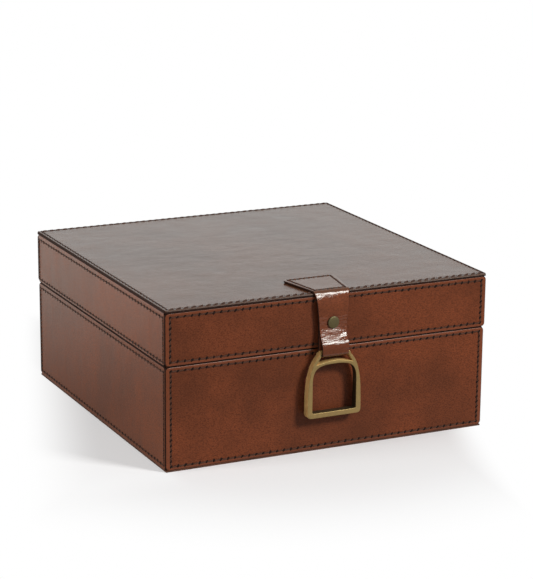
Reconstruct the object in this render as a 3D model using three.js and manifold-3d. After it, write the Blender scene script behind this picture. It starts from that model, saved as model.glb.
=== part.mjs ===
// A square, leather-covered box for papers and keepsakes. Boards are covered in stitched
// leather panels and lined with suede, the lid turns on two brass stop hinges, and a
// leather pull on its front edge carries a small brass stirrup.
// Millimetres, +Z up, +X along the front to the right, +Y to the back. The origin is the
// middle of the underside.

import * as THREE from "three";
import { ConvexGeometry } from "three/addons/geometries/ConvexGeometry.js";
import { mergeVertices } from "three/addons/utils/BufferGeometryUtils.js";
import Module from "manifold-3d";

const wasm = await Module();
wasm.setup();

// Whole box, measured over its leather
const boxWidth = 305;
const boxDepth = 305;
const boxHeight = 140;
const lidHeight = 48.5;
const seamHeight = boxHeight - lidHeight;
const seamGap = 0.5;
const lidInset = 0.25;
const baseInset = 0.75;
const undersideInset = 1.25;

// Thickness of each sheet and board
const sideLeather = 2;
const topLeather = 2.5;
const rimLeather = 1.5;
const undersideLeather = 1.25;
const wallBoard = 8;
const bottomBoard = 6;
const topBoard = 6;
const lining = 1;
const glueLine = 0.1;

// Worked edge of the lid's top leather
const topEdgeRound = 1.5;
const topCornerRound = 2;

// Stop hinges, let in between the two rims
const hingeFromSide = 57.5;
const leafWidth = 38;
const leafOnRim = 7.5;
const leafThickness = rimLeather;
const knuckleRadius = 2.75;
const knuckleToBack = 0.3;
const pinRadius = 1.3;
const pinHeadRadius = 2;
const pinHeadHeight = 1;
const runningGap = 0.3;
const mortiseGap = 0.3;
const heelRoot = 1.5;
const heelReach = 6.2;
const heelThickness = 1.3;
const lidOpenDegrees = 98;
const stopPlayDegrees = 4;

// Countersunk screws that hold the leaves
const screwLength = 12;
const screwRadius = 1.1;
const screwPointLength = 3;
const screwHeadRadius = 2.4;
const screwHeadHeight = 1.2;
const screwSlotWidth = 0.6;
const screwSlotDepth = 0.5;
const screwSpacing = 24;
const screwGap = 0.3;

// Leather pull: a tab on the lid, and a strap that hangs from the lid's front edge
const strapThickness = 1.8;
const tabDepth = 45;
const tabBackWidth = 51;
const tabEdgeWidth = 33.6;
const tabCornerRound = 6;
const bendRadius = 3;
const bendGap = 0.6;
const flexDrop = 4.5;
const flexGap = 0.3;
const strapTopWidth = 31;
const strapWaistWidth = 26;
const strapLoopWidth = 25;
const tailAboveRivet = 7;
const tailCornerRound = 4;
const plyGap = 0.1;
const settleDrop = 5.5;
const flareDrop = 5.3;

// Rivet through both plies of the strap
const rivetDrop = 21.2;
const rivetCapRadius = 5.4;
const rivetCapEdge = 0.5;
const rivetCapHeight = 1.6;
const rivetPostRadius = 1.3;
const burrRadius = 4;
const burrThickness = 0.8;
const burrToLid = 0.3;
const rivetGap = 0.3;

// Stirrup that hangs in the strap's loop
const barRadius = 2;
const barDrop = 46.9;
const loopGap = 0.3;
const stirrupDepth = 8;
const stirrupHalfWidth = 25.4;
const stirrupDrop = 56.3;
const treadThickness = 4.2;
const treadCornerRound = 3;
const armThickness = 4.3;
const innerCornerRound = 1.5;
const archCrown = 9;
const archThickness = 3.6;
const archSpring = 26.6;
const eyeHalfWidth = 12.9;
const eyeWall = 2;
const eyeTop = 2;
const eyeWallDrop = 2.3;
const shoulderHalfWidth = 17.2;
const shoulderDrop = 8.6;

// Counts of flat faces and steps on round shapes
const pinSides = 16;
const knuckleSides = 24;
const screwSides = 12;
const rivetSides = 24;
const domeSteps = 5;
const barSides = 20;
const outlineSteps = 10;
const bendSteps = 6;
const loopSteps = 12;
const plySteps = 6;
const cornerSteps = 3;
const sectionCorners = 4;

// Shares of the arcs' control points along the lengths that they span
const flankLowShare = 0.49;
const flankHighShare = 0.81;
const flankInShare = 0.07;
const archSideShare = 0.81;
const archTopShare = 0.81;

const quarterTurn = Math.PI / 2;
const weldTolerance = 1e-4;

// How far cuts run past the faces that they open
const cutOverrun = 1;

// Finishes, as sRGB colour, roughness and metalness
const finishes = {
  leather: [0x74402a, 0.42, 0],
  darkEdge: [0x2a1a14, 0.6, 0],
  board: [0xb9986b, 0.85, 0],
  suede: [0x6a4a35, 0.95, 0],
  brass: [0x9c8350, 0.35, 1],
  rivetBrass: [0x6f6138, 0.4, 1],
};

function finish(name) {
  const [color, roughness, metalness] = finishes[name];
  return new THREE.MeshStandardMaterial({ color, roughness, metalness });
}

function part(group, name, geometry, finishName) {
  const mesh = new THREE.Mesh(geometry, finish(finishName));
  mesh.name = name;
  group.add(mesh);
  return mesh;
}

// Solids: faces turned outwards, and joins and cuts between them

function signedVolume(geometry) {
  const position = geometry.getAttribute("position");
  const index = geometry.getIndex();
  const corners = [0, 1, 2].map(() => new THREE.Vector3());
  let total = 0;
  for (let i = 0; i < index.count; i += 3) {
    corners.forEach((corner, k) => corner.fromBufferAttribute(position, index.getX(i + k)));
    total += corners[0].dot(corners[1].clone().cross(corners[2]));
  }
  return total;
}

function welded(geometry) {
  const bare = geometry.clone();
  bare.deleteAttribute("normal");
  bare.deleteAttribute("uv");
  const merged = mergeVertices(bare, weldTolerance);
  const index = Array.from(merged.getIndex().array);
  if (signedVolume(merged) < 0) index.reverse();
  merged.setIndex(index);
  return merged;
}

function solid(geometry) {
  const closed = welded(geometry);
  const vertProperties = closed.getAttribute("position").array;
  const triVerts = new Uint32Array(closed.getIndex().array);
  return new wasm.Manifold(new wasm.Mesh({ numProp: 3, vertProperties, triVerts }));
}

function shell(made) {
  const mesh = made.getMesh();
  const geometry = new THREE.BufferGeometry();
  geometry.setAttribute("position", new THREE.BufferAttribute(mesh.vertProperties, 3));
  geometry.setIndex(new THREE.BufferAttribute(mesh.triVerts, 1));
  const flat = geometry.toNonIndexed();
  flat.computeVertexNormals();
  return flat;
}

function without(geometry, cuts) {
  return shell(cuts.reduce((made, cut) => made.subtract(solid(cut)), solid(geometry)));
}

// A block between two corners
function block([x0, x1], [y0, y1], [z0, z1]) {
  const geometry = new THREE.BoxGeometry(x1 - x0, y1 - y0, z1 - z0);
  return geometry.translate((x0 + x1) / 2, (y0 + y1) / 2, (z0 + z1) / 2);
}

// A round bar along X, between two ends
function barAlongX(radius, [x0, x1], sides) {
  const geometry = new THREE.CylinderGeometry(radius, radius, x1 - x0, sides);
  return geometry.rotateZ(quarterTurn).translate((x0 + x1) / 2, 0, 0);
}

// A turned piece whose profile runs along +Y of the lathe
function turned(profile, sides) {
  const points = profile.map(([r, h]) => new THREE.Vector2(r, h));
  return welded(new THREE.LatheGeometry(points, sides));
}

// Levels of the base and the lid, from the underside up
const baseRimTop = seamHeight - seamGap / 2;
const lidRimBottom = seamHeight + seamGap / 2;
const bottomBoardLow = undersideLeather + glueLine;
const bottomBoardTop = bottomBoardLow + bottomBoard;
const floorTop = bottomBoardTop + glueLine + lining;
const baseWallTop = baseRimTop - rimLeather - glueLine;
const lidWallBottom = lidRimBottom + rimLeather + glueLine;
const topLeatherLow = boxHeight - topLeather;
const topBoardTop = topLeatherLow - glueLine;
const topBoardLow = topBoardTop - topBoard;
const ceilingLow = topBoardLow - glueLine - lining;

// Distances from the middle of the box to each layer of a wall, along X and along Y
function layers(inset) {
  const outer = [boxWidth / 2 - inset, boxDepth / 2 - inset];
  const board = outer.map((half) => half - sideLeather - glueLine);
  const boardInner = board.map((half) => half - wallBoard);
  const liningOuter = boardInner.map((half) => half - glueLine);
  const liningInner = liningOuter.map((half) => half - lining);
  return { outer, board, liningOuter, liningInner };
}

const baseLayers = layers(baseInset);
const lidLayers = layers(lidInset);

// Four upright panels round a square: front and back run full width, the sides stand between
function fourPanels(group, names, [halfX, halfY], thickness, heights, finishName, cuts = []) {
  const innerX = halfX - thickness;
  const innerY = halfY - thickness;
  const between = [glueLine - innerY, innerY - glueLine];
  part(group, names("front"), block([-halfX, halfX], [-halfY, -innerY], heights), finishName);
  const back = block([-halfX, halfX], [innerY, halfY], heights);
  part(group, names("back"), cuts.length ? without(back, cuts) : back, finishName);
  part(group, names("left"), block([-halfX, -innerX], between, heights), finishName);
  part(group, names("right"), block([innerX, halfX], between, heights), finishName);
}

// A flat sheet or board centred on the box
function sheet(group, name, [halfX, halfY], heights, finishName) {
  part(group, name, block([-halfX, halfX], [-halfY, halfY], heights), finishName);
}

// The strip of leather that covers the tops of four walls
function rimRing(group, name, [outerX, outerY], [innerX, innerY], [low, high], cuts) {
  const outer = block([-outerX, outerX], [-outerY, outerY], [low, high]);
  const opening = block([-innerX, innerX], [-innerY, innerY], [low - cutOverrun, high + cutOverrun]);
  part(group, name, without(outer, [opening, ...cuts]), "leather");
}

// Hinges: places that the boxes' cuts, the leaves and the screws share
const hingeAxisY = boxDepth / 2 - lidInset + knuckleToBack + knuckleRadius;
const leafInnerY = baseLayers.board[1] - leafOnRim;
const leafMiddleY = (leafInnerY + baseLayers.board[1]) / 2;
const hingeXs = [hingeFromSide - boxWidth / 2, boxWidth / 2 - hingeFromSide];
const screwXs = [-screwSpacing / 2, screwSpacing / 2];

// Room for the leaves: up is 1 for the lid and -1 for the base
function mortises(rimLevel, up) {
  const reach = leafThickness + mortiseGap;
  const heights = [rimLevel - up * cutOverrun, rimLevel + up * reach].sort((a, b) => a - b);
  const halfLeaf = leafWidth / 2 + mortiseGap;
  const depths = [leafInnerY - mortiseGap, boxDepth / 2 + cutOverrun];
  return hingeXs.map((x) => block([x - halfLeaf, x + halfLeaf], depths, heights));
}

// Pilot holes for the screws in the back wall
function pilots(rimLevel, up) {
  const depth = screwLength + screwGap;
  return hingeXs.flatMap((hingeX) =>
    screwXs.map((x) => {
      const hole = new THREE.CylinderGeometry(
        screwRadius + screwGap, screwRadius + screwGap, depth, screwSides);
      hole.rotateX(quarterTurn);
      return hole.translate(hingeX + x, leafMiddleY, rimLevel + (up * depth) / 2);
    }),
  );
}

// Base: boards, leather and lining

const box = new THREE.Group();
const base = new THREE.Group();
const lid = new THREE.Group();
box.add(base, lid);

const underside = [boxWidth / 2 - undersideInset, boxDepth / 2 - undersideInset];
sheet(base, "base_underside_panel", underside, [0, undersideLeather], "darkEdge");
sheet(base, "base_bottom_board", baseLayers.board, [bottomBoardLow, bottomBoardTop], "board");
sheet(base, "base_lining_floor", baseLayers.liningOuter,
  [bottomBoardTop + glueLine, floorTop], "suede");
fourPanels(base, (side) => `base_wall_${side}`, baseLayers.board, wallBoard,
  [bottomBoardTop + glueLine, baseWallTop], "board", pilots(baseRimTop, -1));
fourPanels(base, (side) => `base_leather_${side}`, baseLayers.outer, sideLeather,
  [bottomBoardLow, baseRimTop], "leather", mortises(baseRimTop, -1));
fourPanels(base, (side) => `base_lining_${side}`, baseLayers.liningOuter, lining,
  [floorTop + glueLine, baseWallTop], "suede");
rimRing(base, "base_rim_leather", baseLayers.board, baseLayers.liningInner,
  [baseRimTop - rimLeather, baseRimTop], mortises(baseRimTop, -1));

// Lid: the same build upside down, under a top panel that overlaps the sides

fourPanels(lid, (side) => `lid_wall_${side}`, lidLayers.board, wallBoard,
  [lidWallBottom, topBoardLow - glueLine], "board", pilots(lidRimBottom, 1));
fourPanels(lid, (side) => `lid_leather_${side}`, lidLayers.outer, sideLeather,
  [lidRimBottom, topBoardTop], "leather", mortises(lidRimBottom, 1));
fourPanels(lid, (side) => `lid_lining_${side}`, lidLayers.liningOuter, lining,
  [lidWallBottom, ceilingLow - glueLine], "suede");
sheet(lid, "lid_lining_top", lidLayers.liningOuter, [ceilingLow, topBoardLow - glueLine], "suede");
sheet(lid, "lid_top_board", lidLayers.board, [topBoardLow, topBoardTop], "board");
rimRing(lid, "lid_rim_leather", lidLayers.board, lidLayers.liningInner,
  [lidRimBottom, lidRimBottom + rimLeather], mortises(lidRimBottom, 1));

// Top panel: rounded in plan, with its upper edge worn round
function roundedCorners(halfX, halfY, radius, height) {
  const points = [];
  for (const [sx, sy] of [[1, 1], [-1, 1], [-1, -1], [1, -1]]) {
    for (let i = 0; i <= cornerSteps; i += 1) {
      const turn = (i / cornerSteps) * quarterTurn;
      const x = halfX - radius + radius * Math.cos(turn);
      const y = halfY - radius + radius * Math.sin(turn);
      points.push(new THREE.Vector3(sx * x, sy * y, height));
    }
  }
  return points;
}

function topPanel() {
  const points = roundedCorners(boxWidth / 2, boxDepth / 2, topCornerRound, topLeatherLow);
  for (let i = 0; i <= cornerSteps; i += 1) {
    const turn = (i / cornerSteps) * quarterTurn;
    const inset = topEdgeRound * (1 - Math.cos(turn));
    const height = boxHeight - topEdgeRound * (1 - Math.sin(turn));
    points.push(...roundedCorners(
      boxWidth / 2 - inset, boxDepth / 2 - inset, topCornerRound - inset, height));
  }
  return new ConvexGeometry(points);
}

part(lid, "lid_leather_top", topPanel(), "leather");

// Hinges: a three-knuckle pair of leaves on a pin. Each leaf has a heel behind the pin, and
// the two heels meet when the lid is fully open.

const knuckleLength = (leafWidth - 2 * runningGap) / 3;
const middleKnuckle = [-knuckleLength / 2, knuckleLength / 2];
const leftKnuckle = [-leafWidth / 2, middleKnuckle[0] - runningGap];
const rightKnuckle = [middleKnuckle[1] + runningGap, leafWidth / 2];
const heelDegrees = (lidOpenDegrees + stopPlayDegrees) / 2;

function screw() {
  const neck = screwLength - screwHeadHeight;
  const body = turned(
    [[0, 0], [screwRadius, screwPointLength], [screwRadius, neck],
      [screwHeadRadius, screwLength], [0, screwLength]],
    screwSides,
  );
  const slot = block(
    [-screwHeadRadius - cutOverrun, screwHeadRadius + cutOverrun],
    [screwLength - screwSlotDepth, screwLength + cutOverrun],
    [-screwSlotWidth / 2, screwSlotWidth / 2],
  );
  return without(body, [slot]);
}

// The screw's room in a leaf, with its head flush with the leaf's outer face
function countersink() {
  const wide = screwHeadRadius + screwGap;
  const narrow = screwRadius + screwGap;
  return turned(
    [[0, -leafThickness - cutOverrun], [narrow, -leafThickness - cutOverrun],
      [narrow, -screwHeadHeight], [wide, 0], [wide, cutOverrun], [0, cutOverrun]],
    screwSides,
  );
}

function hingeLeaf(up, ownKnuckles, otherKnuckles) {
  const face = (up * seamGap) / 2;
  const heights = [face, face + up * leafThickness].sort((a, b) => a - b);
  const plate = block([-leafWidth / 2, leafWidth / 2], [leafInnerY - hingeAxisY, 0], heights);
  const heel = block([-leafWidth / 2, leafWidth / 2], [heelRoot, heelReach],
    [0, up * heelThickness].sort((a, b) => a - b));
  heel.rotateX(up * THREE.MathUtils.degToRad(heelDegrees));
  let leaf = solid(plate).add(solid(heel));
  for (const [x0, x1] of otherKnuckles) {
    const room = [x0 - runningGap, x1 + runningGap];
    leaf = leaf.subtract(solid(barAlongX(knuckleRadius + runningGap, room, knuckleSides)));
  }
  for (const span of ownKnuckles) {
    leaf = leaf.add(solid(barAlongX(knuckleRadius, span, knuckleSides)));
  }
  const bore = [-leafWidth / 2 - cutOverrun, leafWidth / 2 + cutOverrun];
  leaf = leaf.subtract(solid(barAlongX(pinRadius + runningGap, bore, pinSides)));
  for (const x of screwXs) {
    const room = countersink().rotateX(-up * quarterTurn);
    leaf = leaf.subtract(solid(room.translate(x, leafMiddleY - hingeAxisY, face)));
  }
  return shell(leaf);
}

function hingePin() {
  const end = leafWidth / 2 + runningGap;
  const shaft = solid(barAlongX(pinRadius, [-end, end], pinSides));
  const heads = [-1, 1].map((side) => {
    const span = [side * end, side * (end + pinHeadHeight)].sort((a, b) => a - b);
    return solid(barAlongX(pinHeadRadius, span, pinSides));
  });
  return shell(shaft.add(heads[0]).add(heads[1]));
}

["left", "right"].forEach((side, i) => {
  const onBase = new THREE.Group();
  const onLid = new THREE.Group();
  onBase.position.set(hingeXs[i], hingeAxisY, seamHeight);
  onLid.position.copy(onBase.position);
  base.add(onBase);
  lid.add(onLid);
  part(onBase, `hinge_${side}_base_leaf`,
    hingeLeaf(-1, [leftKnuckle, rightKnuckle], [middleKnuckle]), "brass");
  part(onLid, `hinge_${side}_lid_leaf`,
    hingeLeaf(1, [middleKnuckle], [leftKnuckle, rightKnuckle]), "brass");
  part(onBase, `hinge_${side}_pin`, hingePin(), "brass");
  screwXs.forEach((x, k) => {
    for (const [half, group, up] of [["base", onBase, -1], ["lid", onLid, 1]]) {
      const mesh = part(group, `hinge_${side}_${half}_screw_${k + 1}`, screw(), "brass");
      mesh.rotation.x = -up * quarterTurn;
      mesh.position.set(x, leafMiddleY - hingeAxisY, up * (seamGap / 2 + screwLength));
    }
  });
});

// Leather pull: sheets that follow a path in the YZ plane with a width that changes

// Each station has its place, its half width and its thickness.
function ribbon(stations) {
  const positions = [];
  const index = [];
  stations.forEach(({ at, half, thickness }, i) => {
    const before = stations[Math.max(i - 1, 0)].at;
    const after = stations[Math.min(i + 1, stations.length - 1)].at;
    const along = after.clone().sub(before).normalize();
    const [ny, nz] = [along.y * (thickness / 2), -along.x * (thickness / 2)];
    positions.push(half, at.x + ny, at.y + nz, -half, at.x + ny, at.y + nz);
    positions.push(-half, at.x - ny, at.y - nz, half, at.x - ny, at.y - nz);
  });
  for (let i = 0; i + 1 < stations.length; i += 1) {
    for (let k = 0; k < sectionCorners; k += 1) {
      const a = i * sectionCorners + k;
      const b = i * sectionCorners + ((k + 1) % sectionCorners);
      index.push(a, b, b + sectionCorners, a, b + sectionCorners, a + sectionCorners);
    }
  }
  const last = (stations.length - 1) * sectionCorners;
  index.push(2, 1, 0, 3, 2, 0, last, last + 1, last + 2, last, last + 2, last + 3);
  const geometry = new THREE.BufferGeometry();
  geometry.setAttribute("position", new THREE.Float32BufferAttribute(positions, 3));
  geometry.setIndex(index);
  return welded(geometry);
}

function between(value, [from, to], [low, high]) {
  const share = THREE.MathUtils.clamp((value - from) / (to - from), 0, 1);
  return low + share * (high - low);
}

const place = (y, z) => new THREE.Vector2(y, z);

// Heights of the pull's pieces, from the lid's top down
const flexHeight = boxHeight - flexDrop;
const rivetHeight = flexHeight - rivetDrop;
const barHeight = flexHeight - barDrop;

// Places of the plies, from the lid's face outwards
const lidFaceY = lidInset - boxDepth / 2;
const lidEdgeY = -boxDepth / 2;
const tailY = lidFaceY - burrToLid - burrThickness - plyGap - strapThickness / 2;
const frontPlyY = tailY - strapThickness - plyGap;
const flexY = lidEdgeY - bendGap - strapThickness / 2;
const loopRadius = barRadius + loopGap + strapThickness / 2;
const barY = tailY - loopRadius;
const tailTop = rivetHeight + tailAboveRivet;

// Tab: flat on the lid with rounded back corners, then over the edge
function tab() {
  const top = boxHeight + glueLine + strapThickness / 2;
  const backY = lidEdgeY + tabDepth;
  const bendY = flexY + bendRadius;
  const bendLow = top - bendRadius;
  const halfAt = (y) => between(y, [backY, lidEdgeY], [tabBackWidth, tabEdgeWidth]) / 2;
  const stations = [];
  const add = (at, half) => stations.push({ at, half, thickness: strapThickness });
  for (let i = 0; i <= bendSteps; i += 1) {
    const turn = (i / bendSteps) * quarterTurn;
    const y = backY - tabCornerRound * (1 - Math.cos(turn));
    add(place(y, top), halfAt(y) - tabCornerRound * (1 - Math.sin(turn)));
  }
  for (let i = 0; i <= bendSteps; i += 1) {
    const turn = (i / bendSteps) * quarterTurn;
    const y = bendY - bendRadius * Math.sin(turn);
    add(place(y, bendLow + bendRadius * Math.cos(turn)), halfAt(y));
  }
  add(place(flexY, flexHeight + strapThickness / 2 + flexGap), strapTopWidth / 2);
  return ribbon(stations);
}

// Strap: down the lid's face, out over the bar, round it and up behind itself
function strap() {
  const rivetTurn = tailTop + plyGap;
  const flareTop = rivetHeight - flareDrop;
  const front = new THREE.CurvePath();
  front.add(new THREE.CubicBezierCurve(
    place(flexY, flexHeight), place(flexY, flexHeight - settleDrop),
    place(frontPlyY, rivetTurn + settleDrop), place(frontPlyY, rivetTurn)));
  front.add(new THREE.LineCurve(place(frontPlyY, rivetTurn), place(frontPlyY, flareTop)));
  front.add(new THREE.CubicBezierCurve(
    place(frontPlyY, flareTop), place(frontPlyY, flareTop - flareDrop),
    place(barY - loopRadius, barHeight + settleDrop + loopGap), place(barY - loopRadius, barHeight)));
  const halfAt = (z) => z > rivetHeight
    ? between(z, [rivetHeight, flexHeight], [strapWaistWidth, strapTopWidth]) / 2
    : between(z, [barHeight, rivetHeight], [strapLoopWidth, strapWaistWidth]) / 2;
  const stations = [];
  const add = (at, half, thickness = strapThickness) => stations.push({ at, half, thickness });
  const radius = strapThickness / 2;
  for (let i = 1; i < cornerSteps; i += 1) {
    const turn = (i / cornerSteps) * quarterTurn;
    add(place(flexY, flexHeight + radius * Math.cos(turn)), strapTopWidth / 2,
      strapThickness * Math.sin(turn));
  }
  front.curves.forEach((curve, k) => {
    curve.getPoints(plySteps).slice(k ? 1 : 0).forEach((at) => add(at, halfAt(at.y)));
  });
  for (let i = 1; i <= loopSteps; i += 1) {
    const turn = Math.PI * (1 + i / loopSteps);
    add(place(barY + loopRadius * Math.cos(turn), barHeight + loopRadius * Math.sin(turn)),
      strapLoopWidth / 2);
  }
  add(place(tailY, rivetHeight), strapLoopWidth / 2);
  for (let i = 0; i <= cornerSteps; i += 1) {
    const turn = (i / cornerSteps) * quarterTurn;
    const z = tailTop - tailCornerRound * (1 - Math.sin(turn));
    add(place(tailY, z), strapLoopWidth / 2 - tailCornerRound * (1 - Math.cos(turn)));
  }
  const hole = new THREE.CylinderGeometry(rivetPostRadius + rivetGap,
    rivetPostRadius + rivetGap, tailY - frontPlyY + strapThickness + 2 * cutOverrun, rivetSides);
  hole.translate(0, (tailY + frontPlyY) / 2, rivetHeight);
  return without(ribbon(stations), [hole]);
}

part(lid, "strap_tab", tab(), "leather");
const pull = new THREE.Group();
lid.add(pull);
part(pull, "strap_hanging", strap(), "leather");

// Rivet: a domed cap with its post in front, and the burr that the post is closed over

function rivetCap() {
  const postLength = (lidFaceY - burrToLid) - (frontPlyY - strapThickness / 2 - plyGap);
  const profile = [[0, -postLength], [rivetPostRadius, -postLength], [rivetPostRadius, 0],
    [rivetCapRadius, 0]];
  for (let i = 0; i <= domeSteps; i += 1) {
    const turn = (i / domeSteps) * quarterTurn;
    profile.push([rivetCapRadius * Math.cos(turn),
      rivetCapEdge + (rivetCapHeight - rivetCapEdge) * Math.sin(turn)]);
  }
  profile[profile.length - 1][0] = 0;
  return turned(profile, rivetSides);
}

function rivetBurr() {
  const bore = rivetPostRadius + rivetGap;
  return turned([[bore, 0], [burrRadius, 0], [burrRadius, burrThickness],
    [bore, burrThickness], [bore, 0]], rivetSides);
}

const cap = part(pull, "rivet_cap", rivetCap(), "rivetBrass");
cap.rotation.x = Math.PI;
cap.position.set(0, frontPlyY - strapThickness / 2 - plyGap, rivetHeight);
const burr = part(pull, "rivet_burr", rivetBurr(), "rivetBrass");
burr.rotation.x = Math.PI;
burr.position.set(0, lidFaceY - burrToLid, rivetHeight);

// Stirrup: tread, arms and arch in one outline, with a round bar across the eye at its top.
// Its outline is drawn with the bar's centre at zero.

function stirrupOutline() {
  const foot = -stirrupDrop;
  const shape = new THREE.Shape();
  const eyeSide = -eyeWallDrop;
  const flank = -foot - treadCornerRound - eyeWallDrop + eyeWall;
  const flankTop = eyeSide + eyeWall - archThickness / 2;
  const half = stirrupHalfWidth;
  const lowZ = foot + treadCornerRound + flank * flankLowShare;
  const highZ = foot + treadCornerRound + flank * flankHighShare;
  const highX = half - half * flankInShare / 2;
  shape.moveTo(0, foot);
  shape.lineTo(half - treadCornerRound, foot);
  shape.quadraticCurveTo(half, foot, half, foot + treadCornerRound);
  shape.bezierCurveTo(half, lowZ, highX, highZ, eyeHalfWidth + eyeWall, flankTop);
  shape.lineTo(eyeHalfWidth + eyeWall, eyeTop - eyeWall);
  shape.quadraticCurveTo(eyeHalfWidth + eyeWall, eyeTop, eyeHalfWidth, eyeTop);
  shape.lineTo(eyeHalfWidth, eyeSide);
  shape.lineTo(shoulderHalfWidth, -shoulderDrop);
  const slotLow = -archCrown + archThickness;
  shape.quadraticCurveTo(0, 2 * slotLow + shoulderDrop, -shoulderHalfWidth, -shoulderDrop);
  shape.lineTo(-eyeHalfWidth, eyeSide);
  shape.lineTo(-eyeHalfWidth, eyeTop);
  shape.quadraticCurveTo(-eyeHalfWidth - eyeWall, eyeTop, -eyeHalfWidth - eyeWall,
    eyeTop - eyeWall);
  shape.lineTo(-eyeHalfWidth - eyeWall, flankTop);
  shape.bezierCurveTo(-highX, highZ, -half, lowZ, -half, foot + treadCornerRound);
  shape.quadraticCurveTo(-half, foot, treadCornerRound - half, foot);
  shape.lineTo(0, foot);
  shape.holes.push(footOpening());
  return shape;
}

// The opening over the tread, with straight sides under a round arch
function footOpening() {
  const low = treadThickness - stirrupDrop;
  const half = stirrupHalfWidth - armThickness;
  const spring = -archSpring;
  const rise = archSpring - archCrown;
  const hole = new THREE.Path();
  hole.moveTo(0, low);
  hole.lineTo(innerCornerRound - half, low);
  hole.quadraticCurveTo(-half, low, -half, low + innerCornerRound);
  hole.lineTo(-half, spring);
  hole.bezierCurveTo(-half, spring + rise * archSideShare, -half * archTopShare, -archCrown,
    0, -archCrown);
  hole.bezierCurveTo(half * archTopShare, -archCrown, half, spring + rise * archSideShare,
    half, spring);
  hole.lineTo(half, low + innerCornerRound);
  hole.quadraticCurveTo(half, low, half - innerCornerRound, low);
  hole.lineTo(0, low);
  return hole;
}

function stirrup() {
  const frame = new THREE.ExtrudeGeometry(stirrupOutline(), {
    depth: stirrupDepth,
    bevelEnabled: false,
    curveSegments: outlineSteps,
  });
  frame.rotateX(quarterTurn).translate(0, stirrupDepth / 2, 0);
  const end = eyeHalfWidth + eyeWall / 2;
  return shell(solid(frame).add(solid(barAlongX(barRadius, [-end, end], barSides))));
}

part(pull, "stirrup", stirrup(), "brass").position.set(0, barY, barHeight);

export default box;
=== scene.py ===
# %% [markdown]
# # A leather box with a brass stirrup on its pull
#
# The box is square, a foot wide and less than half as high. Thick brown panels are sewn edge
# to edge over boards, a lid sits on the base, and a strap over the lid's front edge holds a
# small brass stirrup to pull on.
#
# The boards, hinges and linings already have their shape in the packed model, so this scene
# keeps them and gives them finishes. The panels, the thread, the strap, the rivet and the
# stirrup are made again here with worked edges, puckers and wrinkles.

# %% Load the packed model
import math

import bmesh
import bpy
import numpy as np
from mathutils import Matrix, Vector, noise


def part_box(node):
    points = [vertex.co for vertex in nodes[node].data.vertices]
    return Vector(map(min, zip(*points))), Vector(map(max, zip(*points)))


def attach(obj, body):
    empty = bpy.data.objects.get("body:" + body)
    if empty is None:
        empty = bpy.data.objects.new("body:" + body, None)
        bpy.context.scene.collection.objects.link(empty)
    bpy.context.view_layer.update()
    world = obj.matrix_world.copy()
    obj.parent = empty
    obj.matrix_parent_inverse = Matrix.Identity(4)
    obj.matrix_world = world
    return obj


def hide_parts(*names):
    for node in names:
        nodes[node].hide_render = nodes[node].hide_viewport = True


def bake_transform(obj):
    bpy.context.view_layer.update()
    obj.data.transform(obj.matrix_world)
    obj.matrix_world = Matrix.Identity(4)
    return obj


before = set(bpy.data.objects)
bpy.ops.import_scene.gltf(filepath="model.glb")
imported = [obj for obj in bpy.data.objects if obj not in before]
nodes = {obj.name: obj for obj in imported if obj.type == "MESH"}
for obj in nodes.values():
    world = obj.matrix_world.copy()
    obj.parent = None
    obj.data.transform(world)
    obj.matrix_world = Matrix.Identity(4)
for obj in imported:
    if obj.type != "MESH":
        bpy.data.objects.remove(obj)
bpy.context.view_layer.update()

# %% [markdown]
# ## The camera
#
# A photo of a box gives its own camera away: the box's corners fix the direction, the
# distance and the lens. A long lens from low on the left shows the front, the left side and
# a thin slice of the top. The camera's axes are built from its azimuth, elevation and roll,
# which is plainer than turning it by Euler angles.

# %% Place the camera
camera_azimuth = math.radians(-25.717)
camera_elevation = math.radians(15.015)
camera_roll = math.radians(0.458)
camera_place = Vector((-0.82430, -1.73808, 0.62033))
camera_lens = 136.38
sensor_width = 36

towards_camera = Vector((
    math.sin(camera_azimuth) * math.cos(camera_elevation),
    -math.cos(camera_azimuth) * math.cos(camera_elevation),
    math.sin(camera_elevation),
))
level = Vector((0, 0, 1)).cross(towards_camera).normalized()
upright = towards_camera.cross(level)
right = level * math.cos(camera_roll) + upright * math.sin(camera_roll)
above = upright * math.cos(camera_roll) - level * math.sin(camera_roll)

camera = bpy.data.objects.new("camera", bpy.data.cameras.new("camera"))
camera.data.lens = camera_lens
camera.data.sensor_width = sensor_width
camera.matrix_world = Matrix.Translation(camera_place) @ Matrix(
    (right, above, towards_camera)).transposed().to_4x4()
bpy.context.collection.objects.link(camera)
bpy.context.scene.camera = camera
bpy.context.scene.view_settings.view_transform = "Standard"
print("camera", round((camera_place - Vector((0, 0, 0.07))).length, 2), "m from the box")

# %% [markdown]
# ## Sums with wires
#
# A finish is a small sum: so much of this colour where that mask is high. Written with nodes
# it takes a page, so a `Wire` wraps one output and turns Python's own signs into Math nodes.

# %% Wire
class Wire:
    """One output of a node. Arithmetic on it adds Math nodes."""

    def __init__(self, bench, socket):
        self.bench = bench
        self.socket = socket

    def sum(self, operation, *values):
        return self.bench.node("ShaderNodeMath", {"operation": operation}, dict(enumerate(values)))

    def __add__(self, other):
        return self.sum("ADD", self, other)

    def __sub__(self, other):
        return self.sum("SUBTRACT", self, other)

    def __rsub__(self, other):
        return self.sum("SUBTRACT", other, self)

    def __mul__(self, other):
        return self.sum("MULTIPLY", self, other)

    def __abs__(self):
        return self.sum("ABSOLUTE", self)

    __radd__ = __add__
    __rmul__ = __mul__

    def step(self, low, high):
        """0 at low, 1 at high and a soft rise between them; low may be the larger."""
        return self.bench.node(
            "ShaderNodeMapRange", {"interpolation_type": "SMOOTHSTEP"},
            {"Value": self, "From Min": low, "From Max": high})


print("wires add, subtract, multiply and step")

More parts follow.
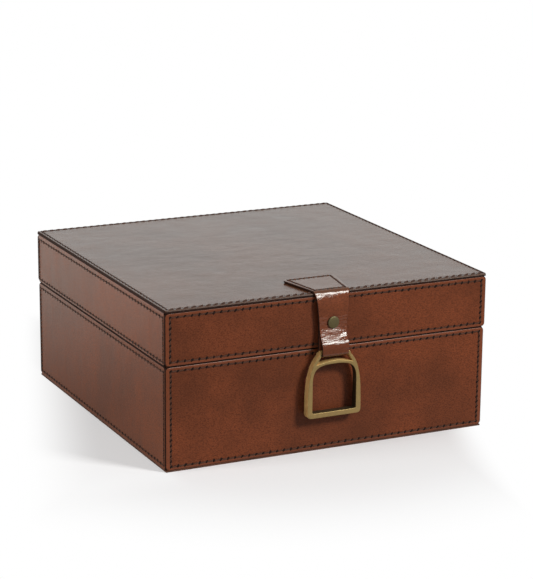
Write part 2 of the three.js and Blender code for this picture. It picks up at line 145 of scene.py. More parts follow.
# %% [markdown]
# A `Bench` holds the tree that the nodes go into, and its one method `node` makes any node.
# The others are short names for the nodes that this scene uses often.

# %% Bench
class Bench:
    """A node tree to work on."""

    def __init__(self, tree):
        self.tree = tree

    def node(self, kind, settings=None, inputs=None, output=0):
        made = self.tree.nodes.new(kind)
        for name, value in (settings or {}).items():
            setattr(made, name, value)
        for name, value in (inputs or {}).items():
            self.feed(made.inputs[name], value)
        return Wire(self, made.outputs[output]) if made.outputs else None

    def feed(self, socket, value):
        if isinstance(value, Wire):
            self.tree.links.new(value.socket, socket)
        else:
            socket.default_value = value

    def place(self):
        """Where a point lies on the piece at rest, in metres."""
        return self.node("ShaderNodeTexCoord", output="Object")

    def part(self, vector, axis):
        """One number of a vector: X, Y or Z."""
        return self.node("ShaderNodeSeparateXYZ", None, {"Vector": vector}, output=axis)

    def ray(self, kind):
        """1 for rays of one kind, Camera or Glossy, and 0 for the others."""
        return self.node("ShaderNodeLightPath", output=f"Is {kind} Ray")

    def written(self, name):
        """A number that the mesh carries at each of its points."""
        return self.node("ShaderNodeAttribute", {"attribute_name": name}, output="Fac")

    def cloud(self, scale, detail=2, rough=0.5, at=None):
        """Soft noise, with about this many patches to the metre."""
        return self.node("ShaderNodeTexNoise", None, {
            "Vector": at or self.place(), "Scale": scale, "Detail": detail, "Roughness": rough})

    def cells(self, scale):
        """Distance from the middle of the nearest of many small cells."""
        return self.node("ShaderNodeTexVoronoi", None, {"Vector": self.place(), "Scale": scale})

    def drawn_out(self, stretch, turn=(0, 0, 0), shift=(0, 0, 0)):
        """The place, stretched along each axis, turned and moved."""
        return self.node("ShaderNodeMapping", None, {
            "Vector": self.place(), "Scale": stretch, "Rotation": turn, "Location": shift})

    def tint(self, share, under, over):
        """One colour laid over another."""
        return self.node(
            "ShaderNodeMix", {"data_type": "RGBA"}, {0: share, 6: under, 7: over}, output=2)

    def bump(self, height, depth, below=None):
        """A relief this many metres deep, on top of another."""
        inputs = {"Height": height, "Distance": depth}
        if below:
            inputs["Normal"] = below
        return self.node("ShaderNodeBump", None, inputs)


print("a bench makes", len([name for name in vars(Bench) if name[0] != "_"]), "kinds of things")

# %% [markdown]
# A finish is a material with one Principled shader, which can be leather, suede or brass by
# its numbers alone. Colours are written as a screen shows them, because that is how they are
# read from a photo, and turned into amounts of light before a shader gets them.

# %% Finish and colours
class Finish(Bench):
    """A material with one Principled shader."""

    def __init__(self, name):
        self.material = bpy.data.materials.new(name)
        self.material.use_nodes = True
        super().__init__(self.material.node_tree)
        self.shader = self.tree.nodes["Principled BSDF"]

    def set(self, **values):
        """Sets the shader's sockets: base_color feeds Base Color."""
        for name, value in values.items():
            label = " ".join(word.upper() if word == "ior" else word.capitalize()
                             for word in name.split("_"))
            self.feed(self.shader.inputs[label], value)
        return self


def srgb(red, green, blue):
    """A colour as a screen shows it, 0 to 255, turned into amounts of light."""
    def light(value):
        share = value / 255
        return share / 12.92 if share <= 0.04045 else ((share + 0.055) / 1.055) ** 2.4
    return (light(red), light(green), light(blue), 1.0)


print("a mid grey of 128 is", round(srgb(128, 128, 128)[0], 3), "of full light")

# %% [markdown]
# ## The hide
#
# Vegetable-tanned hide is never one brown. Dye takes unevenly and leaves patches as wide as a
# palm, finer clouds inside them, and pores that hold more wax. Where the leather is worked,
# at the margins outside a stitch row, rubbing brings out a warmer tan, while the cut edges
# are dyed nearly black and burnished.
#
# An image could give this, but noise in the leather's own coordinates has no seams and stays
# put when the lid opens. Each panel carries the number `row` on its mesh, the distance in
# millimetres inside its stitch row. On the strap `tab` marks what is sewn to the lid, and
# `creased` says how finely the leather is wrinkled: creases are dull as well as deep, so they
# break a glint into streaks. The cut edges have a finish of their own, dark and dull.

# %% Leather finishes
patch_shift = (0.37, 0.11, 0.53)
mottle_depth = 0.0003
fibre_depth = 0.00014
crack_depth = 0.00014
grain_depth = 0.00006
warm_tan = srgb(128, 66, 36)
row_groove_shade = srgb(60, 31, 21)
margin_shade_grey = srgb(80, 60, 49)
tab_shade_brown = srgb(94, 61, 42)


# worn is the margin's tint: a warmer tan from rubbing on the sides, and on the top a darker grey that
# is painted shade and sheen.
def leather(name, tan, deep, gloss, reflect, rubbed=1.0, worn=warm_tan, waxed=0.4,
            streaks=0.0, glazed=False, drawn=(1, 1, 1), cloudy=0.06):
    """Tanned hide: rubbed at its margins, brushed in streaks, or glazed as the strap is."""
    hide = Finish(name)
    patches = hide.cloud(13, 2, 0.5, hide.drawn_out((1, 1, 1), shift=patch_shift))
    mottle = hide.cloud(42, 3, 0.5, hide.drawn_out(drawn))
    fibre = hide.cloud(700, 3, 0.6, hide.drawn_out((1, 1, 1.8), (0.5, 0.6, 0)))
    grain = hide.cloud(1500, 2, 0.5)
    pores = hide.cells(950)
    shade = patches * 0.6 + mottle * 0.4
    colour = hide.tint(shade.step(0.30, 0.70), deep, tan)
    darker = [0.66 * part for part in deep[:3]] + [1]
    colour = hide.tint(fibre.step(0.60, 0.36) * 0.75, colour, darker)
    colour = hide.tint(pores.step(0.18, 0.02) * 0.5, colour, darker)
    colour = hide.tint(hide.cells(60).step(0.07, 0.03) * 0.5, colour, darker)
    roughness = mottle * cloudy + fibre * 0.10 + (gloss - 0.08)
    if rubbed:
        row = hide.written("row")
        margin = row.step(0.2, -0.9)
        # Margin tint: rubbed tan on the sides; on the top, painted shade and sheen.
        colour = hide.tint(margin * (0.35 + mottle * 0.5) * rubbed, colour, worn)
        # Painted shade: the hide is darkened in the sunk groove along the stitch row.
        colour = hide.tint(abs(row).step(1.4, 0.35) * 0.6, colour, row_groove_shade)
        roughness = roughness - margin * 0.05
        if waxed:
            hide.set(coat_weight=margin * waxed, coat_roughness=0.3)
    if streaks:
        brushed = hide.cloud(30, 3, 0.6, hide.drawn_out((1, 7, 1), (0, 0, 0.05)))
        roughness = roughness + (brushed - 0.5) * streaks + row.step(-1.4, -2.8) * 0.3
    depth = 0.5 if glazed or streaks else 1.0
    relief = hide.bump(mottle, mottle_depth)
    if glazed:
        on_tab = hide.written("tab")
        # Painted shade: the tab is the same leather as the hanging strap, tinted a darker, greyer
        # brown where it lies flat on the lid.
        colour = hide.tint(on_tab * 0.9, colour, tab_shade_brown)
        roughness = roughness + on_tab * 0.17
        cracks = hide.cloud(820, 3, 0.6, hide.drawn_out((0.16, 1, 1), (0, 0.12, 0)))
        creased = hide.written("creased")
        roughness = roughness + creased.step(0.5, 1.0) * (0.05 + cracks.step(0.43, 0.55) * 0.36)
        relief = hide.bump(cracks * creased, crack_depth, relief)
    relief = hide.bump(fibre, fibre_depth * depth, relief)
    relief = hide.bump(grain * 0.5 + pores * 0.5, grain_depth * depth, relief)
    hide.set(base_color=colour, roughness=roughness, normal=relief, specular_ior_level=reflect)
    return hide.material


def cut_leather():
    """The burnished raw edge."""
    edge = Finish("cut_leather")
    layers = edge.cloud(900, 3, 0.6)
    colour = edge.tint(layers.step(0.35, 0.65), srgb(34, 20, 15), srgb(54, 33, 25))
    edge.set(base_color=colour, roughness=0.6 + layers * 0.15, normal=edge.bump(layers, 0.0001))
    edge.set(specular_ior_level=0.12)
    return edge.material


hide_tan = srgb(132, 68, 40)
hide_deep = srgb(101, 53, 32)
panel_leather = leather("panel_leather", hide_tan, hide_deep, 0.40, 0.18)
# Painted sheen: the flanks are the same hide as the front, with lighter, greyer dark patches standing
# in for the grey they reflect.
flank_leather = leather("flank_leather", srgb(134, 71, 40), srgb(107, 60, 39), 0.30, 0.5,
                        rubbed=0.25, waxed=0, drawn=(1.3, 1.3, 0.7), cloudy=0.16)
# Painted shade: the top is the same hide as the sides, with darker colours because it gets more
# light; its margin is painted a darker grey for shade and sheen.
top_leather = leather("top_leather", srgb(102, 62, 38), srgb(82, 49, 31), 0.22, 0.5,
                      worn=margin_shade_grey, waxed=0, streaks=0.12)
rim_leather = leather("rim_leather", hide_tan, hide_deep, 0.42, 0.3, rubbed=0)
strap_leather = leather("strap_leather", srgb(139, 73, 44), srgb(107, 57, 35), 0.06, 0.5,
                        rubbed=0, glazed=True)
raw_edge = cut_leather()
print("leather finishes:", panel_leather.name, flank_leather.name, top_leather.name, raw_edge.name)

# %% [markdown]
# ## The other finishes
#
# The lining is suede, a nap without gloss: a little sheen and a soft noise make it. The
# boards are pressed fibre. The dark panel under the base is the same hide, dyed and dull.
# The thread is waxed and twisted. Over its awl holes sit dark lenses, partly dark wax and partly
# painted shade of the holes.

# %% Suede, board, underside and thread
def suede():
    nap = Finish("suede")
    brushed = nap.cloud(38, 3, 0.6)
    fibre = nap.cloud(1700, 3, 0.7)
    colour = nap.tint(brushed.step(0.35, 0.65), srgb(92, 65, 47), srgb(112, 80, 59))
    colour = nap.tint(fibre.step(0.62, 0.38) * 0.45, colour, srgb(70, 48, 35))
    nap.set(base_color=colour, roughness=0.86 + fibre * 0.12, normal=nap.bump(fibre, 0.0002))
    nap.set(sheen_weight=0.2, sheen_roughness=0.45, sheen_tint=(0.8, 0.62, 0.48, 1))
    nap.set(specular_ior_level=0.15)
    return nap.material


def board():
    pulp = Finish("board")
    flecks = pulp.cloud(240, 4, 0.7, pulp.drawn_out((1, 1, 5)))
    colour = pulp.tint(flecks.step(0.35, 0.65), srgb(168, 138, 98), srgb(192, 162, 120))
    pulp.set(base_color=colour, roughness=0.8 + flecks * 0.1, normal=pulp.bump(flecks, 0.0001))
    return pulp.material


def underside():
    hide = Finish("dark_leather")
    cloudy = hide.cloud(45, 4, 0.6)
    grain = hide.cloud(1100, 2)
    colour = hide.tint(cloudy.step(0.35, 0.65), srgb(78, 48, 34), srgb(98, 60, 42))
    hide.set(base_color=colour, roughness=0.55 + grain * 0.2, normal=hide.bump(grain, 0.0001))
    return hide.material


def thread(name, light, dark, reflect):
    cord = Finish(name)
    twist = cord.node("ShaderNodeTexWave", {"bands_direction": "DIAGONAL"}, {
        "Vector": cord.place(), "Scale": 430, "Distortion": 1.5})
    wax = cord.cloud(260, 3)
    colour = cord.tint(twist.step(0.2, 0.8) * 0.7 + wax * 0.3, dark, light)
    cord.set(base_color=colour, roughness=0.5 + wax * 0.2, normal=cord.bump(twist, 0.00012))
    cord.set(specular_ior_level=reflect)
    return cord.material


suede_nap = suede()
bare_board = board()
dark_leather = underside()
waxed_thread = thread("waxed_thread", srgb(102, 68, 52), srgb(60, 40, 32), 0.2)
# Painted sheen: the top's thread is the same as the sides', made greyer to stand in for the top's
# grey sheen.
top_thread = thread("top_thread", srgb(98, 74, 64), srgb(68, 50, 43), 0.25)
hole_wax_and_shade = thread("hole_wax_and_shade", srgb(42, 27, 21), srgb(22, 14, 11), 0.12)
print("soft finishes ready")

# %% [markdown]
# ## Brass
#
# The stirrup is cast brass, rubbed to a satin with an olive tarnish. The colour comes from
# the metal's own reflection, so it goes in Base Color with a high Metallic. Tarnish clouds it,
# and handling keeps the bevelled edges bright. The edges are found from the surface's own
# direction: flat faces look straight along an axis and bevels do not. Tarnish scatters light
# as a matt surface does, so Metallic falls there, and it falls a little on the outer walls.
# Inside the stirrup and at the foot of the rivet's rim the colour is made nearly black, as
# painted shade, and the stirrup's outer walls are painted a bright gold, as painted highlight:
# the points there carry `inside` and `outside`.

# %% Brass finishes
# Colours of painted shade inside the stirrup and of painted highlight on its outer walls.
inner_shade_brown = (0.065, 0.047, 0.025, 1)
outer_highlight_gold = (0.89, 0.575, 0.215, 1)


def brass(name, bright, tarnished, gloss, tarnish):
    metal = Finish(name)
    breath = metal.cloud(120, 4, 0.65)
    specks = metal.cloud(1400, 3, 0.7)
    scratches = metal.cloud(500, 2, 0.5, metal.drawn_out((1, 1, 9), (0.3, 0.5, 0)))
    facing = metal.part(metal.node("ShaderNodeTexCoord", output="Normal"), "Y")
    edge = abs(abs(facing) - 0.62).step(0.30, 0.10)
    dull = breath.step(0.34, 0.66) * tarnish + specks.step(0.55, 0.7) * 0.25
    colour = metal.tint(dull, bright, tarnished)
    colour = metal.tint(edge * 0.3, colour, bright)
    # Painted shade: inside the stirrup and at the rivet rim's foot the colour is made nearly black.
    colour = metal.tint(metal.written("inside") * 0.95, colour, inner_shade_brown)
    # Painted highlight: the stirrup's outer walls are made a bright gold, and less metallic.
    outer_highlight_share = metal.written("outside")
    colour = metal.tint(outer_highlight_share * 0.85, colour, outer_highlight_gold)
    roughness = gloss + breath * 0.12 + scratches * 0.06 - edge * 0.03
    relief = metal.bump(breath, 0.0002)
    relief = metal.bump(scratches + specks, 0.00002, relief)
    metallic = 0.85 - dull * 0.35 + edge * 0.1 - outer_highlight_share * 0.2
    metal.set(base_color=colour, roughness=roughness, normal=relief, metallic=metallic)
    metal.set(specular_ior_level=0.4)
    return metal.material


satin_brass = brass("satin_brass", (0.50, 0.335, 0.135, 1), (0.345, 0.23, 0.093, 1), 0.40, 0.8)
rivet_brass = brass("rivet_brass", (0.23, 0.185, 0.085, 1), (0.145, 0.115, 0.055, 1), 0.32, 0.9)
print("brass finishes:", satin_brass.name, rivet_brass.name)

# %% [markdown]
# ## Finishes for the pieces that are kept
#
# Boards, linings, rims, hinges and the panel underneath keep their packed shape. A narrow
# bevel takes the knife-sharp corners off, because every real corner catches a line of light.

# %% Dress the kept pieces
MM = 0.001


def round_off(piece, width):
    bevel = piece.modifiers.new("worn corners", "BEVEL")
    bevel.width = width * MM
    bevel.segments = 2
    bevel.limit_method = "ANGLE"
    bevel.harden_normals = False


def dress(piece, material):
    piece.data.materials.clear()
    piece.data.materials.append(material)


kept = {
    "_lining_": (suede_nap, 0.25),
    "_wall_": (bare_board, 0.3),
    "_board": (bare_board, 0.3),
    "_rim_leather": (rim_leather, 0.4),
    "_underside_panel": (dark_leather, 0.4),
    "hinge_": (satin_brass, 0.15),
    "rivet_burr": (rivet_brass, 0.15),
}
dressed = 0
for name, piece in nodes.items():
    for mark, (material, width) in kept.items():
        if mark in name:
            dress(piece, material)
            round_off(piece, width)
            dressed += 1
            break
print(dressed, "packed pieces dressed")

# %% [markdown]
# ## Stitched panels
#
# Each leather panel is a slab with a round worn edge. Its stitch row is pulled in, so the
# leather sinks along the row, most at the awl holes, and the margin outside it stands up as
# a small roll. A plain slab with a bump map would lose all of this at the silhouette.
#
# The panel is a grid whose lines crowd together at the edges and along the rows, where the
# shape changes, with four lines to a stitch in between. Heights come from two distances, to
# the cut edge and to the row, so the same function makes all nine panels. It is worked in
# millimetres, like the leather.

# %% Places of lines and holes
pitch_along = 6.6
pitch_upright = 4.6
closest = 0.45


def hole_places(length, first, last, pitch):
    """Awl holes along one side of a panel, evenly spaced from corner to corner."""
    count = max(2, round((length - first - last) / pitch))
    return np.linspace(first, length - last, count + 1)


def grid_lines(length, first, last, pitch, extra=()):
    """Places of a grid's lines: close at the edges and the rows, four to a stitch between."""
    near_edge = np.array([0, 0.1, 0.28, 0.55, 0.95, 1.5])
    near_row = np.array([-1.0, -0.5, 0, 0.5, 1.0])
    wanted = np.concatenate([
        near_edge, length - near_edge, first + near_row, length - last + near_row, extra])
    wanted = list(np.unique(np.round(wanted, 3)))
    holes = hole_places(length, first, last, pitch)
    quarter = (holes[1] - holes[0]) / 4
    for place in np.arange(holes[0], holes[-1] + 0.01, quarter):
        if min(abs(place - line) for line in wanted) > closest:
            wanted.append(place)
    return np.array(sorted(wanted))


print("awl holes every", pitch_along, "mm along and every", pitch_upright, "mm upright")

# %% [markdown]
# A mesh comes from points and faces, in millimetres here, and carries the numbers that its
# finish reads as attributes. Faces are turned outwards in one go at the end, which is safer
# than minding the order of every corner. Thread, strap, rivet and bar are all rings of points
# joined by four-cornered faces, so two helpers give them their circles and their faces.

# %% Make a piece
def circle(count):
    """Cosine and sine of evenly spaced turns."""
    turns = [2 * math.pi * k / count for k in range(count)]
    return [(math.cos(turn), math.sin(turn)) for turn in turns]


def tube_faces(rings, count):
    """The faces between rings of count points each."""
    faces = []
    for ring in range(rings - 1):
        for k in range(count):
            a = ring * count + k
            b = ring * count + (k + 1) % count
            faces.append((a, b, b + count, a + count))
    return faces


def piece_of(name, points, faces, material, numbers=None, sharp=35, cut=None):
    """A piece from millimetres; cut tells for each face whether it is a raw edge."""
    mesh = bpy.data.meshes.new(name)
    mesh.from_pydata((np.array(points, float) * MM).tolist(), [], faces)
    for label, values in (numbers or {}).items():
        written = mesh.attributes.new(label, "FLOAT", "POINT")
        written.data.foreach_set("value", np.array(values, np.float32))
    work = bmesh.new()
    work.from_mesh(mesh)
    bmesh.ops.recalc_face_normals(work, faces=work.faces)
    work.to_mesh(mesh)
    work.free()
    mesh.shade_smooth()
    mesh.set_sharp_from_angle(angle=math.radians(sharp))
    mesh.materials.append(material)
    if cut is not None:
        mesh.materials.append(raw_edge)
        mesh.polygons.foreach_set("material_index", np.array(cut, np.int32))
    piece = bpy.data.objects.new(name, mesh)
    bpy.context.collection.objects.link(piece)
    return piece


print("between two rings of 6 points there are", len(tube_faces(2, 6)), "faces")

# %% [markdown]
# A panel is worked out lying flat, with u across it, v up it and w out of it. A `Side` takes
# the packed panel's box and turns those three into a place in the model, so the front, the
# back, the flanks and the top all come from one drawing.

# %% A panel's own directions
class Side:
    """A panel's own directions: across it, up it and out of it, from one corner."""

    def __init__(self, node, across, up):
        low, high = (np.array(corner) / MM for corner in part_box(node))
        self.across = np.array(across, float)
        self.up = np.array(up, float)
        self.out = np.cross(self.across, self.up)
        turn = self.across + self.up + self.out
        self.corner = np.where(turn > 0, low, high)
        spread = high - low
        self.width = float(abs(spread @ self.across))
        self.height = float(abs(spread @ self.up))
        self.thickness = float(abs(spread @ self.out))

    def point(self, u, v, w):
        u, v, w = (np.asarray(value, float)[..., None] for value in (u, v, w))
        return self.corner + u * self.across + v * self.up + w * self.out


print("the front panel faces", Side("lid_leather_front", (1, 0, 0), (0, 0, 1)).out)

# %% [markdown]
# The height of a panel's face over its board starts from its full thickness. The round edge
# drops it by a quarter of an ellipse, the row sinks it, and the middle lies a little lower
# than the margin. Seen from in front, the grid's square corners are pulled in to round ones.

# %% The face of a panel
row_sink = 0.34
row_spread = 0.8
middle_below = 0.12


def panel_height(side, rows, u, v):
    """Height of the face and distance inside the stitch row."""
    rim = np.minimum(np.minimum(u, side.width - u), np.minimum(v, side.height - v))
    from_sides = np.minimum(u - rows["left"], side.width - rows["right"] - u)
    from_ends = np.minimum(v - rows["low"], side.height - rows["high"] - v)
    row = np.minimum(from_sides, from_ends)
    holes_u = hole_places(side.width, rows["left"], rows["right"], rows["pitch_u"])
    holes_v = hole_places(side.height, rows["low"], rows["high"], rows["pitch_v"])
    beat_u = np.cos(2 * math.pi * (u - holes_u[0]) / (holes_u[1] - holes_u[0]))
    beat_v = np.cos(2 * math.pi * (v - holes_v[0]) / (holes_v[1] - holes_v[0]))
    beat = np.where(from_ends < from_sides, beat_u, beat_v)
    share = np.clip(1 - rim / rows["round"], 0, 1)
    height = side.thickness - rows["drop"] * (1 - np.sqrt(1 - share ** 2))
    height -= row_sink * (0.7 + 0.3 * beat) * np.exp(-(row / row_spread) ** 2)
    height -= middle_below * (1 + 0.5 * beat * np.exp(-row / 3)) * np.clip(row / 1.5, 0, 1)
    height -= rows["fall"] * (0.4 + 0.6 * u / side.width) * np.clip(1 - v / rows["low"], 0, 1)
    return height, row


def rounded_plan(side, radius, u, v):
    """Bends the grid's corners to a round corner, seen from in front."""
    a = np.maximum(radius - np.minimum(u, side.width - u), 0)
    b = np.maximum(radius - np.minimum(v, side.height - v), 0)
    longest = np.maximum(a, b)
    both = (a > 0) & (b > 0)
    pull = np.where(both, longest / np.maximum(np.hypot(a, b), 1e-9), 1)
    new_u = np.where(u < side.width / 2, radius - a * pull, side.width - radius + a * pull)
    new_v = np.where(v < side.height / 2, radius - b * pull, side.height - radius + b * pull)
    return np.where(both, new_u, u), np.where(both, new_v, v)


print("a stitch row sinks", row_sink, "mm into the leather")

# %% [markdown]
# The mesh is the face, its raw edges down to the board, and a flat back. A slow wave keeps
# the middle from being dead flat, as hide over board never is. The back panels are cut away
# for the hinges: there the grid gets two lines close together at each end of the notch, and
# the points between them move in.

# %% The mesh of a panel
wave_height = 0.10
wave_length = 42
wave_change = 70
notch_step = 0.05
notch_ease = 1.2
foot_row = -4.0


def stitched_panel(node, side, rows, body, material, radius, notches=()):
    cuts = []
    for low, high, *_ in notches:
        cuts += [low, low + notch_step, high - notch_step, high]
    us = grid_lines(side.width, rows["left"], rows["right"], rows["pitch_u"], cuts)
    vs = grid_lines(side.height, rows["low"], rows["high"], rows["pitch_v"])
    u, v = np.meshgrid(us, vs, indexing="ij")
    height, row = panel_height(side, rows, u, v)
    slice_place = side.corner[1] / wave_change
    waves = np.array([[noise.noise(Vector((a / wave_length, b / wave_length, slice_place)))
                       for b in vs] for a in us])
    height += wave_height * waves * np.clip(row / 6, 0, 1)
    plan_u, plan_v = rounded_plan(side, radius, u, v)
    for low, high, at_top, depth in notches:
        inside = (u > low + 0.01) & (u < high - 0.01)
        reach = depth + notch_ease
        into = np.clip((v - (side.height - reach)) if at_top else (reach - v), 0, reach)
        shift = into * depth / reach
        plan_v = np.where(inside, plan_v - shift if at_top else plan_v + shift, plan_v)
    points = side.point(plan_u, plan_v, height).reshape(-1, 3)
    columns = len(vs)
    faces = []
    cut = []
    for i in range(len(us) - 1):
        for j in range(columns - 1):
            a = i * columns + j
            faces.append((a, a + columns, a + columns + 1, a + 1))
            upright_edge = min(us[i], side.width - us[i + 1]) < rows["raw"]
            low_edge = vs[j] < rows["raw_low"]
            high_edge = side.height - vs[j + 1] < rows["raw_high"]
            cut.append(upright_edge or low_edge or high_edge)
    last_u = len(us) - 1
    last_v = columns - 1
    loop = ([i * columns for i in range(last_u)]
            + [last_u * columns + j for j in range(last_v)]
            + [i * columns + last_v for i in range(last_u, 0, -1)]
            + [j for j in range(last_v, 0, -1)])
    edge_u = plan_u.reshape(-1)[loop]
    edge_v = plan_v.reshape(-1)[loop]
    start = len(points)
    foot = side.point(edge_u, edge_v, np.zeros(len(loop)))
    for k, corner in enumerate(loop):
        after = (k + 1) % len(loop)
        faces.append((corner, start + k, start + after, loop[after]))
    faces.append([start + k for k in range(len(loop))])
    cut += [True] * (len(loop) + 1)
    points = np.concatenate([points, foot])
    numbers = {"row": np.concatenate([row.reshape(-1), np.full(len(loop), foot_row)])}
    piece = piece_of(node + "_sewn", points, faces, material, numbers, cut=cut)
    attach(piece, body)
    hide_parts(node)
    return piece


print("a panel's waves are", wave_height, "mm high")

# %% [markdown]
# The front and back panels reach over the ends of the flanks, so their upright rows stand
# further in. The rows lie a few millimetres from the edges, each where the photo shows it,
# and the base's front and back are rolled over more at their edges than the lid's.

# %% Eight side panels
raw_cut = 0.4
# The dark cut-edge bands are widened at the seam, the flanks' the most, as painted shade of the gap.
flank_cut_and_seam_shade = 0.7
front_corner = 3.4
flank_corner = 2.2
sewing = {"pitch_u": pitch_along, "pitch_v": pitch_upright, "round": 1.1, "drop": 0.75,
          "raw": raw_cut, "raw_low": 0, "raw_high": 0, "lift": 0.0, "fall": 0.0}
front_rows = {**sewing, "left": 4.6, "right": 4.6}
flank_rows = {**sewing, "left": 2.4, "right": 2.4}
rolled = {"round": 2.2, "drop": 0.9}
# How far the low and the high row lie inside the panel's edges
levels = {
    ("lid", "front"): (3.55, 3.7), ("lid", "flank"): (2.95, 4.4),
    ("base", "front"): (3.15, 3.75), ("base", "flank"): (3.75, 4.9),
}
directions = {
    "front": (1, 0, 0), "back": (-1, 0, 0), "left": (0, -1, 0), "right": (0, 1, 0),
}
mortise_half = 19.3
mortise_depth = 1.8
sewn = {}
for body in ("lid", "base"):
    for where, across in directions.items():
        node = f"{body}_leather_{where}"
        flank = where in ("left", "right")
        side = Side(node, across, (0, 0, 1))
        low, high = levels[body, "flank" if flank else "front"]
        rows = dict(flank_rows if flank else front_rows, low=low, high=high)
        if body == "base" and not flank:
            rows.update(rolled)
        # Painted shade: along the seam between lid and base, and under the top's overhang, the dark
        # cut-edge finish reaches onto the rounded face.
        seam_cut_and_shade = flank_cut_and_seam_shade if flank else raw_cut
        if body == "base":
            rows.update(raw_high=seam_cut_and_shade)
        else:
            rows.update(raw_low=seam_cut_and_shade, raw_high=0 if flank else raw_cut)
        notches = []
        if where == "back":
            for hinge in ("left", "right"):
                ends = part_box(f"hinge_{hinge}_lid_leaf")
                middle = side.width / 2 - (ends[0].x + ends[1].x) / 2 / MM
                notches.append((middle - mortise_half, middle + mortise_half,
                                body == "base", mortise_depth))
        material = flank_leather if flank else panel_leather
        corner = flank_corner if flank else front_corner
        piece = stitched_panel(node, side, rows, body, material, corner, sorted(notches))
        sewn[node] = (side, rows, body)
        print(piece.name, len(piece.data.vertices), "points")

# %% [markdown]
# The top panel is thicker and overlaps the sides, so its dyed cut edge shows as a dark band.
# Wax and use have given it more gloss than the sides.

# %% Top panel
top_side = Side("lid_leather_top", (1, 0, 0), (0, 1, 0))
top_rows = {"left": 3.6, "right": 2.3, "low": 2.9, "high": 2.3, "pitch_u": pitch_along,
            "pitch_v": pitch_along, "round": 1.1, "drop": 0.8, "raw": raw_cut, "raw_low": 0,
            "raw_high": 0, "lift": 0.35, "fall": 0.55}
top_corner = 2.0
top_panel = stitched_panel("lid_leather_top", top_side, top_rows, "lid", top_leather, top_corner)
sewn["lid_leather_top"] = (top_side, top_rows, "lid")
print(top_panel.name, len(top_panel.data.vertices), "points")

# %% [markdown]
# ## Thread
#
# A saddle stitch fills every gap between two awl holes. Each stitch lies a little aslant,
# stands proud in its middle and dives at both ends. One tube of six sides and seven rings is
# enough at this size, and the stitches of the base, the lid's sides and its top are heaped
# into one piece each. Over each awl hole, where two stitches meet and the thread turns down,
# sits a small dark lens of its own: partly the dark wax, partly painted shade of the hole.

# %% One stitch
thread_radius = 0.56
tube_sides = 6
# Share of the way, height over the leather and swelling of each ring of a stitch
arch = [(0.04, -0.45, 0.6), (0.14, 0.0, 0.9), (0.32, 0.20, 1.0), (0.5, 0.26, 1.0),
        (0.68, 0.20, 1.0), (0.86, 0.0, 0.9), (0.96, -0.45, 0.6)]


class Heap:
    """Points and faces of many small shapes that become one piece."""

    def __init__(self):
        self.points = []
        self.faces = []

    def add(self, points, faces):
        start = len(self.points)
        self.points.extend(points)
        self.faces.extend([start + corner for corner in face] for face in faces)


def stitch(heap, begin, end, aside, out, slant, thick):
    """One stitch between two holes; aside and out are across the row and off the leather."""
    along = end - begin
    rings = []
    for share, lift, swell in arch:
        middle = begin + along * share + aside * slant * (share - 0.5) * 2 + out * lift
        radius = thread_radius * swell * thick
        rings += [middle + (aside * x + out * y) * radius for x, y in circle(tube_sides)]
    faces = tube_faces(len(arch), tube_sides)
    faces.append(list(range(tube_sides))[::-1])
    faces.append([len(rings) - tube_sides + k for k in range(tube_sides)])
    heap.add(rings, faces)


print("a stitch is a tube of", len(arch) * tube_sides, "points")

# %% [markdown]
# The awl is held at one slant all round a panel, so the marks stand across the long rows and
# lie along the upright ones. No two are quite alike, since the holes are made by hand.

# %% Awl marks
mark_long = 2.1
mark_wide = 1.2
mark_lift = 0.24
mark_rings = ((0.6, 0.12), (1.0, -0.12))
hand = np.random.default_rng(12)


def awl_mark(heap, place, lean, out, swell):
    """A dark slanted lens over one hole, its dark wax and painted shade: a middle, two rings of eight
    and a middle below.
    """
    place = place + out * mark_lift
    cross = np.cross(out, lean)
    lean = lean + cross * hand.uniform(-0.22, 0.22)
    size = hand.uniform(0.8, 1.1) * swell
    points = [place + out * 0.17]
    for reach, lift in mark_rings:
        points += [place + lean * size * mark_long * reach * x
                   + cross * size * mark_wide * reach * y + out * lift for x, y in circle(8)]
    points.append(place - out * 0.3)
    faces = [(0, 1 + k, 1 + (k + 1) % 8) for k in range(8)]
    faces += [(1 + k, 9 + k, 9 + (k + 1) % 8, 1 + (k + 1) % 8) for k in range(8)]
    faces += [(17, 9 + (k + 1) % 8, 9 + k) for k in range(8)]
    heap.add(points, faces)


def sew(stitches, marks, holes, aside, lean, out, slant, thick, mark):
    """A row of stitches and the marks at its holes."""
    holes = holes + aside * hand.uniform(-0.16, 0.16, (len(holes), 1))
    for begin, end in zip(holes, holes[1:]):
        stitch(stitches, begin, end, aside, out, slant, thick)
    for hole in holes:
        awl_mark(marks, hole, lean, out, mark)


print("an awl mark is up to", 2 * mark_long, "mm long")

# %% [markdown]
# Every row has a touch of its own: how far its stitches slant, how thick they are and how
# strong its marks. On the flanks the marks are bold. Along the front of the top the thread
# lies so slanted that the row looks like a rope, and the other rows of the top are fine.

# %% Sew the panels
flank_touch = (0.3, 1.1, 1.15)
front_touch = (0.4, 1.0, 1.0)
rope_touch = (1.7, 1.0, 0.35)
fine_touch = (0.2, 0.7, 0.45)


def panel_holes(side, rows):
    """The four rows of a panel: their holes, and the direction across each row."""
    us = hole_places(side.width, rows["left"], rows["right"], rows["pitch_u"])
    vs = hole_places(side.height, rows["low"], rows["high"], rows["pitch_v"])
    surface = side.thickness - row_sink + rows["lift"]
    for v in (vs[0], vs[-1]):
        yield side.point(us, np.full(len(us), v), np.full(len(us), surface)), side.up
    for u in (us[0], us[-1]):
        yield side.point(np.full(len(vs), u), vs, np.full(len(vs), surface)), side.across


